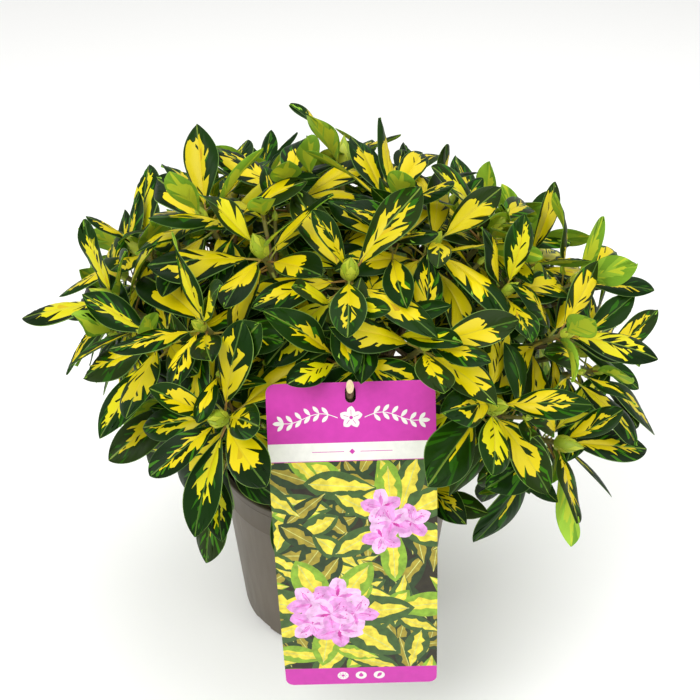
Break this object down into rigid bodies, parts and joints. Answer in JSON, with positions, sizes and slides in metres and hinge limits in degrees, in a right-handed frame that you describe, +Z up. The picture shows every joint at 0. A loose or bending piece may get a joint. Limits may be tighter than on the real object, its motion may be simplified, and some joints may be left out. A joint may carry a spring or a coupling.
{
  "type": "potted rhododendron",
  "caption": "Bushy rhododendron with variegated evergreen leaves in whorls, in a round nursery pot, with a plain printed card hung on a pruned twig.",
  "frame": {"origin": "middle of the pot's flat underside", "axes": "+Z up along the pot's axis; the card hangs on the -Y side, which is the front"},
  "size_m": [0.5298, 0.4893, 0.4921],
  "materials": {
    "pot": "satin",
    "soil": "rough",
    "bark": "rough",
    "foliage": "satin",
    "card": "satin"
  },
  "bodies": {
    "root": {"pot": "pot", "root_ball": "soil", "trunk": "bark", "pruned_stub": "bark", "hanging_card": "card", "bough_left_low": "bark", "bough_right_low": "bark", "bough_front_left_low": "bark", "bough_back_right_low": "bark", "bough_left_mid": "bark", "bough_right_mid": "bark", "bough_front_low": "bark", "bough_back_low": "bark", "bough_front_right_low": "bark", "bough_back_left_low": "bark", "bough_front_right_mid": "bark", "bough_back_left_mid": "bark", "bough_front_high": "bark", "bough_back_high": "bark", "bough_front_right_high": "bark", "bough_back_left_high": "bark", "bough_front_left_high": "bark", "bough_back_right_high": "bark", "foliage_left_low": "foliage", "foliage_right_low": "foliage", "foliage_front_left_low": "foliage", "foliage_back_right_low": "foliage", "foliage_left_mid": "foliage", "foliage_right_mid": "foliage", "foliage_front_low": "foliage", "foliage_back_low": "foliage", "foliage_front_right_low": "foliage", "foliage_back_left_low": "foliage", "foliage_front_right_mid": "foliage", "foliage_back_left_mid": "foliage", "foliage_front_high": "foliage", "foliage_back_high": "foliage", "foliage_front_right_high": "foliage", "foliage_back_left_high": "foliage", "foliage_front_left_high": "foliage", "foliage_back_right_high": "foliage", "foliage_leader": "foliage"}
  },
  "joints": []
}
